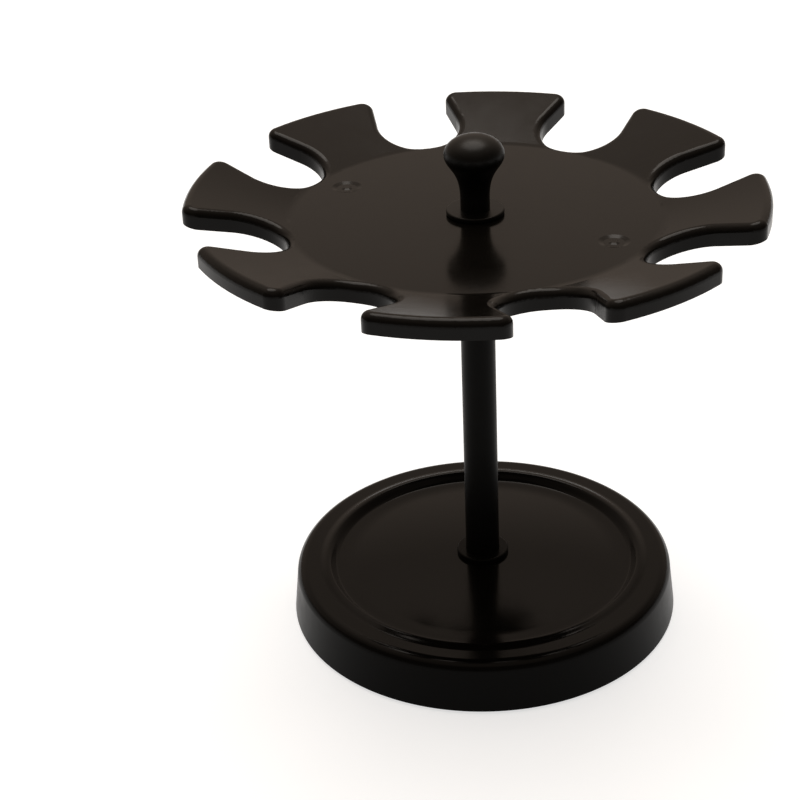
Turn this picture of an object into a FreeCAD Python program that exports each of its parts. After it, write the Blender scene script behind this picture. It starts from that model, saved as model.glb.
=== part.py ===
import FreeCAD
import Part

import math
import os

V = FreeCAD.Vector
UP = V(0, 0, 1)
QUARTER_ROUND = 4 * (math.sqrt(2) - 1) / 3   # pole reach of a Bezier quarter circle

# Desk carousel for hand stamps.  A weighted round base carries a thin post, and a dished
# disc with open slots turns on top of it.  The stamps hang in the slots by their necks.
# All sizes are in millimetres.  The origin is the centre of the base at table level.

# --- rack disc -----------------------------------------------------------------------
rack_radius = 75.0            # tip of the arms
rack_plate_height = 119.6     # flat top of the disc above the table
slot_count = 8
slot_inner_radius = 49.4      # closed end of a slot, from the axis
slot_bore_radius = 11.5       # round seat of a stamp's neck
slot_taper_deg = 4.5          # the walls close in towards the mouth
slot_phase_deg = 0.0          # the first slot opens towards +X
arm_corner_radius = 3.2
crease_radius = 48.5          # the arms rise outside this circle
arm_rise_deg = 14.9
crease_bend_radius = 8.0
skirt_depth = 5.2
rack_wall = 2.0
rack_edge_radius = 2.0        # rounding of the upper edges
rib_thickness = 1.4
rib_setback = 0.5             # ribs end this much above the skirt's lower edge
dimple_radius = 4.0
dimple_floor_radius = 2.7
dimple_depth = 0.35
nub_foot_radius = 1.5
nub_top_radius = 0.8
nub_height = 0.25
dimple_place_radius = 39.4    # from the axis to a dimple's centre
dimple_angle_deg = 135.0

# --- pivot ---------------------------------------------------------------------------
hub_radius = 7.6
hub_length = 12.0
bush_wall = 1.4
spigot_radius = 3.1
running_clearance = 0.05      # radial, turning parts
axial_play = 0.1              # above and below the turning hub
slip_washer_thickness = 0.8
slip_washer_radius = 5.8
sunk_washer_thickness = 0.6
sunk_washer_radius = 5.6
shoulder_thickness = 2.0
plug_length = 12.0

# --- post ----------------------------------------------------------------------------
post_top_radius = 4.6
post_foot_radius = 4.7
post_wall = 1.4
seat_clearance = 0.05         # radial, parts that are only pushed together
foot_ring_radius = 7.2
foot_ring_height = 1.4
foot_ring_edge = 0.5

# --- knob ----------------------------------------------------------------------------
knob_radius = 7.75
knob_height = 19.8
knob_neck_radius = 3.8
knob_neck_length = 3.0
knob_crown_height = 5.0       # dome above the widest circle
neck_pull = 0.68              # how long the neck stays slim, of the flare's height
belly_pull = 0.28             # how soon the flare reaches its full width, likewise
knob_ring_radius = 7.5
knob_ring_thickness = 1.3
knob_ring_edge = 0.4
insert_radius = 3.1
insert_length = 7.0
insert_depth = 9.5            # from the knob's foot to the insert
insert_groove_depth = 0.3
insert_groove_width = 1.0

# --- fasteners -----------------------------------------------------------------------
rod_radius = 2.0
rod_clearance = 0.15
rod_end_chamfer = 0.4
rod_stickout = 0.5            # below the nut
nut_across_flats = 7.0
nut_thickness = 2.4
washer_radius = 4.5
washer_thickness = 0.8
lock_washer_radius = 3.5
lock_washer_thickness = 0.9
lock_washer_gap = 0.6
nut_clearance = 0.6           # rod end above the bottom plate

# --- base ----------------------------------------------------------------------------
foot_standout = 1.0
base_radius = 54.0            # at the lower edge
base_draft_deg = 6.5          # the side wall leans in
shoulder_radius = 3.1         # rounding above the side wall
ledge_height = 14.1           # flat ring inside the shoulder, above the shell's lower edge
ledge_width = 3.0
bead_height = 14.8            # raised ring inside the ledge, likewise
bead_outer_run = 2.8          # from the bead's crest out to the ledge
bead_inner_run = 2.7          # from the bead's crest in to the moat
moat_height = 12.5            # flat floor between the bead and the crowned plate
moat_width = 3.6
crown_height = 14.9           # top of the crowned plate, a flat land round the post
land_margin = 0.3             # land outside the foot ring
base_wall = 2.0
inner_corner_radius = 2.5
socket_wall = 3.4
socket_floor = 1.8
base_rib_count = 8
base_rib_thickness = 1.4
screw_count = 4
screw_place_radius = 44.5
screw_radius = 1.15
screw_length = 8.0
screw_head_margin = 0.1       # bottom plate left above the countersinks
screw_slot_width = 0.6
screw_slot_depth = 0.5
thread_clearance = 0.03       # radial, screws in their pilot holes
screw_boss_wall = 1.9
screw_phase_deg = 22.5
cover_thickness = 1.2
cover_clearance = 0.25
ballast_thickness = 4.8
ballast_inner_radius = 13.0
ballast_gap = 1.0             # between the ballast and the screw bosses
pad_count = 4
pad_radius = 5.0
pad_recess = 0.6
pad_edge = 0.4
pad_place_radius = 39.5
pad_phase_deg = 45.0

# --- worked-out heights --------------------------------------------------------------
shell_bottom = foot_standout
cover_top = shell_bottom + cover_thickness
rod_bottom = cover_top + nut_clearance
nut_bottom = rod_bottom + rod_stickout
lock_washer_bottom = nut_bottom + nut_thickness
washer_bottom = lock_washer_bottom + lock_washer_thickness
socket_bottom = washer_bottom + washer_thickness
post_bottom = socket_bottom + socket_floor
base_plate_top = shell_bottom + crown_height
roof_height = shell_bottom + moat_height - base_wall

hub_bottom = rack_plate_height - hub_length
shoulder_top = hub_bottom - axial_play - slip_washer_thickness
post_top = shoulder_top - shoulder_thickness
spigot_top = rack_plate_height + axial_play
knob_foot = spigot_top + knob_ring_thickness
knob_top = knob_foot + knob_height
insert_bottom = knob_foot + insert_depth
insert_top = insert_bottom + insert_length
rod_top = insert_top - rod_end_chamfer

# --- worked-out radii ----------------------------------------------------------------
slot_centre_radius = slot_inner_radius + slot_bore_radius
bush_bore_radius = spigot_radius + running_clearance
bush_outer_radius = bush_bore_radius + bush_wall
post_bore_radius = post_top_radius - post_wall
plug_radius = post_bore_radius - seat_clearance
post_hole_radius = post_foot_radius + seat_clearance
rod_hole_radius = rod_radius + rod_clearance
socket_radius = post_hole_radius + socket_wall
screw_head_radius = screw_radius + cover_thickness - screw_head_margin
pilot_radius = screw_radius + thread_clearance
screw_boss_radius = pilot_radius + screw_boss_wall
base_inner_radius = base_radius - base_wall
cover_radius = base_inner_radius - cover_clearance
ballast_outer_radius = screw_place_radius - screw_boss_radius - ballast_gap
land_radius = foot_ring_radius + land_margin


def export(shape, name):
    """Check one piece and write its STEP file."""
    shape = shape.removeSplitter()
    solids = shape.Solids
    state = "valid" if shape.isValid() else "NOT VALID"
    print("%-18s %d solid(s) %9.1f mm3 %s" % (name, len(solids), shape.Volume, state))
    piece = solids[0] if len(solids) == 1 else Part.makeCompound(solids)
    piece.exportStep("parts/%s.step" % name)


def cylinder(radius, bottom, top, x=0.0, y=0.0):
    return Part.makeCylinder(radius, top - bottom, V(x, y, bottom), UP)


def tube(outer, inner, bottom, top):
    return cylinder(outer, bottom, top).cut(cylinder(inner, bottom - 1, top + 1))


def polar(radius, angle_deg):
    angle = math.radians(angle_deg)
    return radius * math.cos(angle), radius * math.sin(angle)


def at_angle(shape, angle_deg):
    """Copy of a shape turned about the post's axis."""
    copy = shape.copy()
    copy.rotate(V(0, 0, 0), UP, angle_deg)
    return copy


def line(start, end):
    return Part.LineSegment(V(*start), V(*end)).toShape()


def arc(start, middle, end):
    return Part.Arc(V(*start), V(*middle), V(*end)).toShape()


def bezier(poles):
    """Curve in the XZ plane from poles given as (radius, height)."""
    curve = Part.BezierCurve()
    curve.setPoles([V(r, 0, z) for r, z in poles])
    return curve.toShape()


def revolve(edges):
    """Solid of revolution about Z from a closed outline in the XZ plane."""
    face = Part.Face(Part.Wire(Part.__sortEdges__(edges)))
    return face.revolve(V(0, 0, 0), UP, 360)


def polygon_revolve(points):
    """Solid of revolution from straight runs, given as (radius, height)."""
    corners = [(r, 0, z) for r, z in points]
    closed = corners + corners[:1]
    return revolve([line(a, b) for a, b in zip(closed, closed[1:])])


def ease(outer, inner):
    """Two tangent arcs from one level to the next, flat at both ends."""
    run = abs(outer[0] - inner[0])
    rise = abs(outer[1] - inner[1])
    radius = (run * run + rise * rise) / (4 * rise)
    half = math.asin(run / 2 / radius)
    quarter_run = radius * math.sin(half / 2)
    quarter_drop = radius * (1 - math.cos(half / 2))
    side = 1 if inner[0] > outer[0] else -1
    fall = 1 if inner[1] > outer[1] else -1
    middle = ((outer[0] + inner[0]) / 2, 0, (outer[1] + inner[1]) / 2)
    first = (outer[0] + side * quarter_run, 0, outer[1] + fall * quarter_drop)
    second = (inner[0] - side * quarter_run, 0, inner[1] - fall * quarter_drop)
    start = (outer[0], 0, outer[1])
    end = (inner[0], 0, inner[1])
    return [arc(start, first, middle), arc(middle, second, end)]


# --- rack ----------------------------------------------------------------------------
def slot_cutter(growth):
    """One slot along +X: a round seat and walls that close in towards the mouth."""
    radius = slot_bore_radius + growth
    theta = math.radians(90 - slot_taper_deg)
    touch_x = slot_centre_radius + radius * math.cos(theta)
    touch_y = radius * math.sin(theta)
    mouth_x = rack_radius + 2 * slot_bore_radius
    mouth_y = touch_y - (mouth_x - touch_x) * math.tan(math.radians(slot_taper_deg))
    low = rack_plate_height - 4 * skirt_depth
    high = rack_plate_height + rack_radius
    seat_end = (slot_centre_radius - radius, 0, low)
    outline = Part.Wire([
        arc((touch_x, -touch_y, low), seat_end, (touch_x, touch_y, low)),
        line((touch_x, touch_y, low), (mouth_x, mouth_y, low)),
        line((mouth_x, mouth_y, low), (mouth_x, -mouth_y, low)),
        line((mouth_x, -mouth_y, low), (touch_x, -touch_y, low)),
    ])
    return Part.Face(outline).extrude(V(0, 0, high - low))


def rack_prism(inset, corner):
    """The disc's plan with its slots, extruded well past the disc on both sides."""
    low = rack_plate_height - 3 * skirt_depth
    high = rack_plate_height + rack_radius * 0.5
    prism = cylinder(rack_radius - inset, low, high)
    cutter = slot_cutter(inset)
    for index in range(slot_count):
        prism = prism.cut(at_angle(cutter, slot_phase_deg + index * 360.0 / slot_count))
    if corner > 0:
        rim = rack_radius - inset - 0.01
        tips = [e for e in prism.Edges if is_upright(e) and radius_of(e) > rim]
        prism = prism.makeFillet(corner, tips)
    return prism


def is_upright(edge):
    first = edge.Vertexes[0].Point
    last = edge.Vertexes[-1].Point
    return abs(last.z - first.z) > 1 and math.hypot(last.x - first.x, last.y - first.y) < 1e-6


def radius_of(edge):
    point = edge.Vertexes[0].Point
    return math.hypot(point.x, point.y)


def dish_edges(depth, outer):
    """Section of a dished sheet's surface at a depth below the top, axis to rim."""
    angle = math.radians(arm_rise_deg)
    level = rack_plate_height - depth
    bend = crease_bend_radius + depth
    tangent = crease_bend_radius * math.tan(angle / 2)
    start_r = crease_radius - tangent
    middle_r = start_r + bend * math.sin(angle / 2)
    middle_z = level + bend * (1 - math.cos(angle / 2))
    end_r = start_r + bend * math.sin(angle)
    end_z = level + bend * (1 - math.cos(angle))
    rim_z = end_z + (outer - end_r) * math.tan(angle)
    points = [(0, 0, level), (start_r, 0, level), (end_r, 0, end_z), (outer, 0, rim_z)]
    edges = [
        line(points[0], points[1]),
        arc(points[1], (middle_r, 0, middle_z), points[2]),
        line(points[2], points[3]),
    ]
    return edges, points[0], points[3]


def dish_band(top_depth, bottom_depth, outer):
    """Dished disc between two depths below the top surface."""
    upper, upper_axis, upper_rim = dish_edges(top_depth, outer)
    lower, lower_axis, lower_rim = dish_edges(bottom_depth, outer)
    return revolve(upper + [line(upper_rim, lower_rim)] + lower + [line(lower_axis, upper_axis)])


def top_edges(shape):
    """Edges between the disc's upper surface and its upright walls."""
    chosen = []
    for edge in shape.Edges:
        if is_upright(edge):
            continue
        middle = edge.valueAt((edge.FirstParameter + edge.LastParameter) / 2)
        upward = 0
        upright = 0
        for face in shape.ancestorsOfType(edge, Part.Face):
            u, v = face.Surface.parameter(middle)
            slope = face.normalAt(u, v).z
            upward += 1 if slope > 0.5 else 0
            upright += 1 if abs(slope) < 0.1 else 0
        if upward == 1 and upright == 1:
            chosen.append(edge)
    return chosen


def dimple(angle_deg):
    """Shallow round recess with sloping sides and a low nub in its middle."""
    x, y = polar(dimple_place_radius, angle_deg)
    floor = V(x, y, rack_plate_height - dimple_depth)
    recess = Part.makeCone(dimple_floor_radius, dimple_radius, dimple_depth, floor, UP)
    return recess.cut(Part.makeCone(nub_foot_radius, nub_top_radius, nub_height, floor, UP))


def make_rack_disc():
    reach = rack_radius * 1.2
    outer = rack_prism(0.0, arm_corner_radius).common(dish_band(0.0, skirt_depth, reach))
    outer = outer.makeFillet(rack_edge_radius, top_edges(outer))
    inner_plan = rack_prism(rack_wall, 0.0)
    pocket = inner_plan.common(dish_band(rack_wall, skirt_depth + rack_wall, reach))
    shell = outer.cut(pocket)

    # Radial ribs run from the hub to the end wall of each arm, inside the pocket.
    rib_space = rack_prism(rack_wall / 2, 0.0).common(
        dish_band(rack_wall / 2, skirt_depth - rib_setback, reach))
    rib = Part.makeBox(rack_radius, rib_thickness, 2 * rack_radius,
                       V(0, -rib_thickness / 2, rack_plate_height - rack_radius))
    half_pitch = 180.0 / slot_count
    for index in range(slot_count):
        turn = slot_phase_deg + half_pitch + index * 2 * half_pitch
        shell = shell.fuse(at_angle(rib, turn).common(rib_space))

    hub = cylinder(hub_radius, hub_bottom, rack_plate_height - rack_wall / 2)
    shell = shell.fuse(hub)
    shell = shell.cut(cylinder(bush_outer_radius, hub_bottom - 1, rack_plate_height + 1))
    washer_seat = rack_plate_height - sunk_washer_thickness
    shell = shell.cut(cylinder(sunk_washer_radius + seat_clearance, washer_seat, rack_plate_height + 1))
    for turn in (dimple_angle_deg, dimple_angle_deg + 180):
        shell = shell.cut(dimple(turn))
    return shell


def make_hub_bush():
    top = rack_plate_height - sunk_washer_thickness
    return tube(bush_outer_radius, bush_bore_radius, hub_bottom, top)


def make_upper_slip_washer():
    bottom = rack_plate_height - sunk_washer_thickness
    return tube(sunk_washer_radius, bush_bore_radius, bottom, rack_plate_height)


# --- post and pivot ------------------------------------------------------------------
def make_post_tube():
    outer = polygon_revolve([(0, post_bottom), (post_foot_radius, post_bottom),
                             (post_top_radius, post_top), (0, post_top)])
    return outer.cut(cylinder(post_bore_radius, post_bottom - 1, post_top + 1))


def make_pivot_cap():
    plug = cylinder(plug_radius, post_top - plug_length, post_top)
    shoulder = cylinder(post_top_radius, post_top, shoulder_top)
    spigot = cylinder(spigot_radius, shoulder_top, spigot_top)
    bore = cylinder(rod_hole_radius, post_top - plug_length - 1, spigot_top + 1)
    return plug.fuse(shoulder).fuse(spigot).cut(bore)


def make_lower_slip_washer():
    top = shoulder_top + slip_washer_thickness
    return tube(slip_washer_radius, spigot_radius + seat_clearance, shoulder_top, top)


def make_foot_ring():
    top = base_plate_top + foot_ring_height
    ring = cylinder(foot_ring_radius, base_plate_top, top)
    rim = [e for e in ring.Edges if abs(e.BoundBox.ZMin - top) < 1e-6 and e.BoundBox.ZLength < 1e-6]
    ring = ring.makeFillet(foot_ring_edge, rim)
    return ring.cut(cylinder(post_hole_radius, base_plate_top - 1, top + 1))


# --- knob ----------------------------------------------------------------------------
def make_knob_ring():
    ring = cylinder(knob_ring_radius, spigot_top, knob_foot)
    rims = [e for e in ring.Edges if e.BoundBox.ZLength < 1e-6]
    ring = ring.makeFillet(knob_ring_edge, rims)
    return ring.cut(cylinder(rod_hole_radius, spigot_top - 1, knob_foot + 1))


def make_knob():
    widest = knob_top - knob_crown_height
    neck_end = knob_foot + knob_neck_length
    body = widest - neck_end
    flare = bezier([
        (knob_neck_radius, neck_end),
        (knob_neck_radius, neck_end + neck_pull * body),
        (knob_radius, widest - belly_pull * body),
        (knob_radius, widest),
    ])
    crown = bezier([
        (knob_radius, widest),
        (knob_radius, widest + QUARTER_ROUND * knob_crown_height),
        (QUARTER_ROUND * knob_radius, knob_top),
        (0, knob_top),
    ])
    outline = [
        line((0, 0, knob_foot), (knob_neck_radius, 0, knob_foot)),
        line((knob_neck_radius, 0, knob_foot), (knob_neck_radius, 0, neck_end)),
        flare,
        crown,
        line((0, 0, knob_top), (0, 0, knob_foot)),
    ]
    knob = revolve(outline)
    knob = knob.cut(cylinder(rod_hole_radius, knob_foot - 1, insert_top))
    return knob.cut(cylinder(insert_radius, insert_bottom, insert_top))


def make_knob_insert():
    insert = tube(insert_radius, rod_radius, insert_bottom, insert_top)
    middle = (insert_bottom + insert_top) / 2
    low = middle - insert_groove_width / 2
    high = middle + insert_groove_width / 2
    return insert.cut(tube(insert_radius + 1, insert_radius - insert_groove_depth, low, high))


# --- fasteners -----------------------------------------------------------------------
def make_tie_rod():
    chamfered = rod_radius - rod_end_chamfer
    return polygon_revolve([
        (0, rod_bottom), (chamfered, rod_bottom), (rod_radius, rod_bottom + rod_end_chamfer),
        (rod_radius, rod_top - rod_end_chamfer), (chamfered, rod_top), (0, rod_top)])


def make_rod_nut():
    corner = nut_across_flats / 2 / math.cos(math.radians(30))
    points = [V(*polar(corner, 60 * i), nut_bottom) for i in range(7)]
    nut = Part.Face(Part.makePolygon(points)).extrude(V(0, 0, nut_thickness))
    return nut.cut(cylinder(rod_radius, nut_bottom - 1, nut_bottom + nut_thickness + 1))


def make_lock_washer():
    top = lock_washer_bottom + lock_washer_thickness
    ring = tube(lock_washer_radius, rod_hole_radius, lock_washer_bottom, top)
    split = Part.makeBox(2 * lock_washer_radius, lock_washer_gap, 2 * lock_washer_thickness,
                         V(0, -lock_washer_gap / 2, lock_washer_bottom - lock_washer_thickness / 2))
    return ring.cut(split)


def make_rod_washer():
    return tube(washer_radius, rod_hole_radius, washer_bottom, socket_bottom)


def screw_places():
    for index in range(screw_count):
        yield polar(screw_place_radius, screw_phase_deg + index * 360.0 / screw_count)


def countersink(radius, x, y):
    """Cone that narrows upwards by one in one from the bottom plate's lower face."""
    depth = radius - screw_radius
    return Part.makeCone(radius, screw_radius, depth, V(x, y, shell_bottom), UP)


def make_cover_screws():
    screws = []
    for x, y in screw_places():
        shank = cylinder(screw_radius, shell_bottom, shell_bottom + screw_length, x, y)
        screw = countersink(screw_head_radius, x, y).fuse(shank)
        groove = Part.makeBox(3 * screw_head_radius, screw_slot_width, 2 * screw_slot_depth,
                              V(x - 1.5 * screw_head_radius, y - screw_slot_width / 2,
                                shell_bottom - screw_slot_depth))
        screws.append(screw.cut(groove))
    return Part.makeCompound(screws)


# --- base ----------------------------------------------------------------------------
def crown_arc(plate_radius, moat):
    """Part of a sphere centred on the axis, from the plate's edge to the land round the post."""
    fall = base_plate_top - moat
    centre = (land_radius ** 2 - plate_radius ** 2 + base_plate_top ** 2 - moat ** 2) / (2 * fall)
    sphere = math.hypot(plate_radius, moat - centre)
    middle = (plate_radius + land_radius) / 2
    middle_height = centre + math.sqrt(sphere ** 2 - middle ** 2)
    return arc((plate_radius, 0, moat), (middle, 0, middle_height), (land_radius, 0, base_plate_top))


def base_outline():
    """Outer section of the base cap, lower edge to axis."""
    ledge = shell_bottom + ledge_height
    bead = shell_bottom + bead_height
    moat = shell_bottom + moat_height
    shoulder_foot = ledge - shoulder_radius
    lean = (shoulder_foot - shell_bottom) * math.tan(math.radians(base_draft_deg))
    wall_top = base_radius - lean
    shoulder_end = wall_top - shoulder_radius
    ledge_end = shoulder_end - ledge_width
    bead_radius = ledge_end - bead_outer_run
    moat_radius = bead_radius - bead_inner_run
    plate_radius = moat_radius - moat_width
    bulge = shoulder_radius * math.sin(math.radians(45))
    edges = [
        line((base_radius, 0, shell_bottom), (wall_top, 0, shoulder_foot)),
        arc((wall_top, 0, shoulder_foot), (shoulder_end + bulge, 0, shoulder_foot + bulge),
            (shoulder_end, 0, ledge)),
        line((shoulder_end, 0, ledge), (ledge_end, 0, ledge)),
    ]
    edges += ease((ledge_end, ledge), (bead_radius, bead))
    edges += ease((bead_radius, bead), (moat_radius, moat))
    edges.append(line((moat_radius, 0, moat), (plate_radius, 0, moat)))
    edges.append(crown_arc(plate_radius, moat))
    edges.append(line((land_radius, 0, base_plate_top), (0, 0, base_plate_top)))
    return edges


def base_cavity():
    """Hollow under the cap: leaning wall, rounded corner, flat roof."""
    corner_foot = roof_height - inner_corner_radius
    lean = (corner_foot - shell_bottom) * math.tan(math.radians(base_draft_deg))
    wall_top = base_inner_radius - lean
    flat = wall_top - inner_corner_radius
    bulge = inner_corner_radius * math.sin(math.radians(45))
    return revolve([
        line((0, 0, shell_bottom), (base_inner_radius, 0, shell_bottom)),
        line((base_inner_radius, 0, shell_bottom), (wall_top, 0, corner_foot)),
        arc((wall_top, 0, corner_foot), (flat + bulge, 0, corner_foot + bulge),
            (flat, 0, roof_height)),
        line((flat, 0, roof_height), (0, 0, roof_height)),
        line((0, 0, roof_height), (0, 0, shell_bottom)),
    ])


def make_base_shell():
    closing = [line((0, 0, base_plate_top), (0, 0, shell_bottom)),
               line((0, 0, shell_bottom), (base_radius, 0, shell_bottom))]
    shell = revolve(base_outline() + closing).cut(base_cavity())

    # Ribs press the ballast ring down on the bottom plate.
    rib_bottom = cover_top + ballast_thickness
    embed = base_wall / 2
    rib_start = socket_radius - embed
    rib = Part.makeBox(base_inner_radius - rib_start, base_rib_thickness,
                       roof_height + embed - rib_bottom,
                       V(rib_start, -base_rib_thickness / 2, rib_bottom))
    for index in range(base_rib_count):
        shell = shell.fuse(at_angle(rib, index * 360.0 / base_rib_count))
    shell = shell.fuse(cylinder(socket_radius, socket_bottom, roof_height + embed))
    for x, y in screw_places():
        shell = shell.fuse(cylinder(screw_boss_radius, cover_top, roof_height + embed, x, y))

    shell = shell.cut(cylinder(post_hole_radius, post_bottom, base_plate_top + 1))
    shell = shell.cut(cylinder(rod_hole_radius, socket_bottom - 1, post_bottom + 1))
    for x, y in screw_places():
        pilot_top = shell_bottom + screw_length + screw_radius
        shell = shell.cut(cylinder(pilot_radius, cover_top - 1, pilot_top, x, y))
    return shell


def make_ballast_ring():
    return tube(ballast_outer_radius, ballast_inner_radius, cover_top, cover_top + ballast_thickness)


def pad_places():
    for index in range(pad_count):
        yield polar(pad_place_radius, pad_phase_deg + index * 360.0 / pad_count)


def make_base_cover():
    cover = cylinder(cover_radius, shell_bottom, cover_top)
    for x, y in screw_places():
        cover = cover.cut(cylinder(screw_radius + seat_clearance, shell_bottom - 1, cover_top + 1, x, y))
        cover = cover.cut(countersink(screw_head_radius + seat_clearance, x, y))
    for x, y in pad_places():
        cover = cover.cut(cylinder(pad_radius + seat_clearance, shell_bottom - 1,
                                   shell_bottom + pad_recess, x, y))
    return cover


def make_foot_pad(x, y):
    pad = cylinder(pad_radius, 0.0, foot_standout + pad_recess, x, y)
    rim = [e for e in pad.Edges if abs(e.BoundBox.ZMax) < 1e-6]
    return pad.makeFillet(pad_edge, rim)


def main():
    os.makedirs("parts", exist_ok=True)
    export(make_base_shell(), "base_shell")
    export(make_ballast_ring(), "ballast_ring")
    export(make_base_cover(), "base_cover")
    export(make_cover_screws(), "cover_screws")
    for number, (x, y) in enumerate(pad_places(), start=1):
        export(make_foot_pad(x, y), "foot_pad_%d" % number)
    export(make_foot_ring(), "foot_ring")
    export(make_post_tube(), "post_tube")
    export(make_tie_rod(), "tie_rod")
    export(make_rod_nut(), "rod_nut")
    export(make_lock_washer(), "lock_washer")
    export(make_rod_washer(), "rod_washer")
    export(make_pivot_cap(), "pivot_cap")
    export(make_lower_slip_washer(), "lower_slip_washer")
    export(make_knob_ring(), "knob_ring")
    export(make_knob(), "knob")
    export(make_knob_insert(), "knob_insert")
    export(make_rack_disc(), "rack_disc")
    export(make_hub_bush(), "hub_bush")
    export(make_upper_slip_washer(), "upper_slip_washer")


main()
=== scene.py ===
import math

import bmesh
import bpy
from mathutils import Matrix, Vector


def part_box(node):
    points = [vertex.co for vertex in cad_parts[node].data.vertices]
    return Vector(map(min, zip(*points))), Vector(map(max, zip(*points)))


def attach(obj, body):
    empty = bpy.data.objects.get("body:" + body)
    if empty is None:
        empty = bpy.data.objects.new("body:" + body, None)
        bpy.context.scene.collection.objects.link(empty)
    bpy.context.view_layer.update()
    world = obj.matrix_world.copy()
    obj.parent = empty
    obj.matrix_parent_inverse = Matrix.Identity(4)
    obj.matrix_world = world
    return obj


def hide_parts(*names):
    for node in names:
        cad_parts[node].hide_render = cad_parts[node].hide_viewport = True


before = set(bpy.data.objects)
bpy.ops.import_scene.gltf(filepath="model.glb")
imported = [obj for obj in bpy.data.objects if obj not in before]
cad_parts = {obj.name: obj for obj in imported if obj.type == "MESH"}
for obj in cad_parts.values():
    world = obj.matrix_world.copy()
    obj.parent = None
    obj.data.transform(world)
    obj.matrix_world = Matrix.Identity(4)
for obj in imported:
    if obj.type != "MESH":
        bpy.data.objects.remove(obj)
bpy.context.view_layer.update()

# Desk carousel for hand stamps.  Its sizes are in millimetres up to the point where a mesh is
# made.  The camera, the lamp and the floor are in metres, and names in DEG are in degrees.
MM = 0.001

# --- sizes that the frame gives, in millimetres ---------------------------------------------


def low(name):
    """Lowest level of a CAD node."""
    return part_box(name)[0].z / MM


def high(name):
    """Highest level of a CAD node."""
    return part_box(name)[1].z / MM


def radius(name):
    """Radius of a CAD node that is centred on the post's axis."""
    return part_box(name)[1].x / MM


BASE_RADIUS = radius("base_shell")
BASE_BOTTOM = low("base_shell")
CROWN_TOP = high("base_shell")
COVER_TOP = high("base_cover")
BALLAST_TOP = high("ballast_ring")
SOCKET_BOTTOM = high("rod_washer")
POST_BOTTOM = low("post_tube")
KNOB_FOOT = low("knob")
KNOB_TOP = high("knob")
KNOB_RADIUS = radius("knob")
INSERT_BOTTOM = low("knob_insert")
INSERT_TOP = high("knob_insert")
INSERT_RADIUS = radius("knob_insert")
ROD_BOTTOM = low("tie_rod")
ROD_TOP = high("tie_rod")
ROD_RADIUS = radius("tie_rod")
NUT_BOTTOM = low("rod_nut")
NUT_TOP = high("rod_nut")
NUT_CORNER = radius("rod_nut")
FOOT_RING_RADIUS = radius("foot_ring")
SCREW_BOTTOM = low("cover_screws")
SCREW_TOP = high("cover_screws")
PAD_TOP = high("foot_pad_1")

# --- base shell -----------------------------------------------------------------------------
BASE_DRAFT_DEG = 6.5
SHOULDER_RADIUS = 3.1
BASE_WALL = 2.0
INNER_CORNER = 2.5
BEAD_DROP = 0.1                  # how far bead, ledge and moat lie below the crown's top
LEDGE_DROP = 0.8
MOAT_DROP = 2.4
LEDGE_WIDTH = 3.0
BEAD_OUTER_RUN = 2.8             # from the ledge in to the bead's crest
BEAD_INNER_RUN = 2.7             # from the crest in to the moat
MOAT_WIDTH = 3.6
LAND_MARGIN = 0.3                # flat land that shows round the foot ring
BEAD_TOP = CROWN_TOP - BEAD_DROP
LEDGE_TOP = CROWN_TOP - LEDGE_DROP
MOAT_TOP = CROWN_TOP - MOAT_DROP
LAND_RADIUS = FOOT_RING_RADIUS + LAND_MARGIN
ROOF = MOAT_TOP - BASE_WALL      # ceiling of the hollow underside
POST_HOLE_RADIUS = 4.75
ROD_HOLE_RADIUS = 2.15
SOCKET_RADIUS = 8.15
BASE_RIB_COUNT = 8
BASE_RIB_THICKNESS = 1.4
EMBED = 1.0                      # how far ribs and bosses reach into the roof

# --- fasteners and feet ---------------------------------------------------------------------
SCREW_COUNT = 4
SCREW_PLACE_RADIUS = 44.5
SCREW_FIRST_DEG = 22.5
SCREW_RADIUS = 1.15
SCREW_HEAD_RADIUS = 2.25
SCREW_PITCH = 0.9
SCREW_THREAD_DEPTH = 0.22
SCREW_SLOT_WIDTH = 0.6
SCREW_SLOT_DEPTH = 0.5
SCREW_BOSS_RADIUS = 3.08
SCREW_PILOT_RADIUS = 1.18
SCREW_PILOT_SPARE = 1.15         # how far the pilot hole runs on past the tip
SCREW_SHANK_START = SCREW_BOTTOM + SCREW_HEAD_RADIUS - SCREW_RADIUS
PAD_COUNT = 4
PAD_PLACE_RADIUS = 39.5
PAD_FIRST_DEG = 45.0
PAD_RADIUS = 5.0
PAD_EDGE = 0.4
PAD_GROOVE_DEPTH = 0.3
PAD_GROOVE_REACH = 0.35          # from the middle of a groove to its lip
PAD_GROOVES = (1.3, 2.5, 3.7)    # radii of the moulded grip rings
ROD_PITCH = 0.7                  # M4 coarse
ROD_THREAD_DEPTH = 0.35
ROD_THREAD_LENGTH = 9.0
ROD_CHAMFER = 0.4
ROD_THREAD_START = ROD_BOTTOM + ROD_CHAMFER
ROD_THREAD_END = ROD_TOP - ROD_CHAMFER
NUT_FLATS = 6
NUT_ACROSS = 7.0
NUT_BORE = 2.0
NUT_CHAMFER_DEG = 30.0
INSERT_TEETH = 28
INSERT_TOOTH_DEPTH = 0.16
INSERT_GROOVE_DEPTH = 0.3
INSERT_GROOVE_WIDTH = 1.0

# --- knob -----------------------------------------------------------------------------------
KNOB_NECK_RADIUS = 3.8
KNOB_NECK_LENGTH = 3.0
KNOB_CROWN_HEIGHT = 5.0
NECK_PULL = 0.68                 # the curve's handles, as shares of its height
BELLY_PULL = 0.28
QUARTER_ROUND = 4 * (math.sqrt(2) - 1) / 3       # handle that makes a quarter circle

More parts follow.
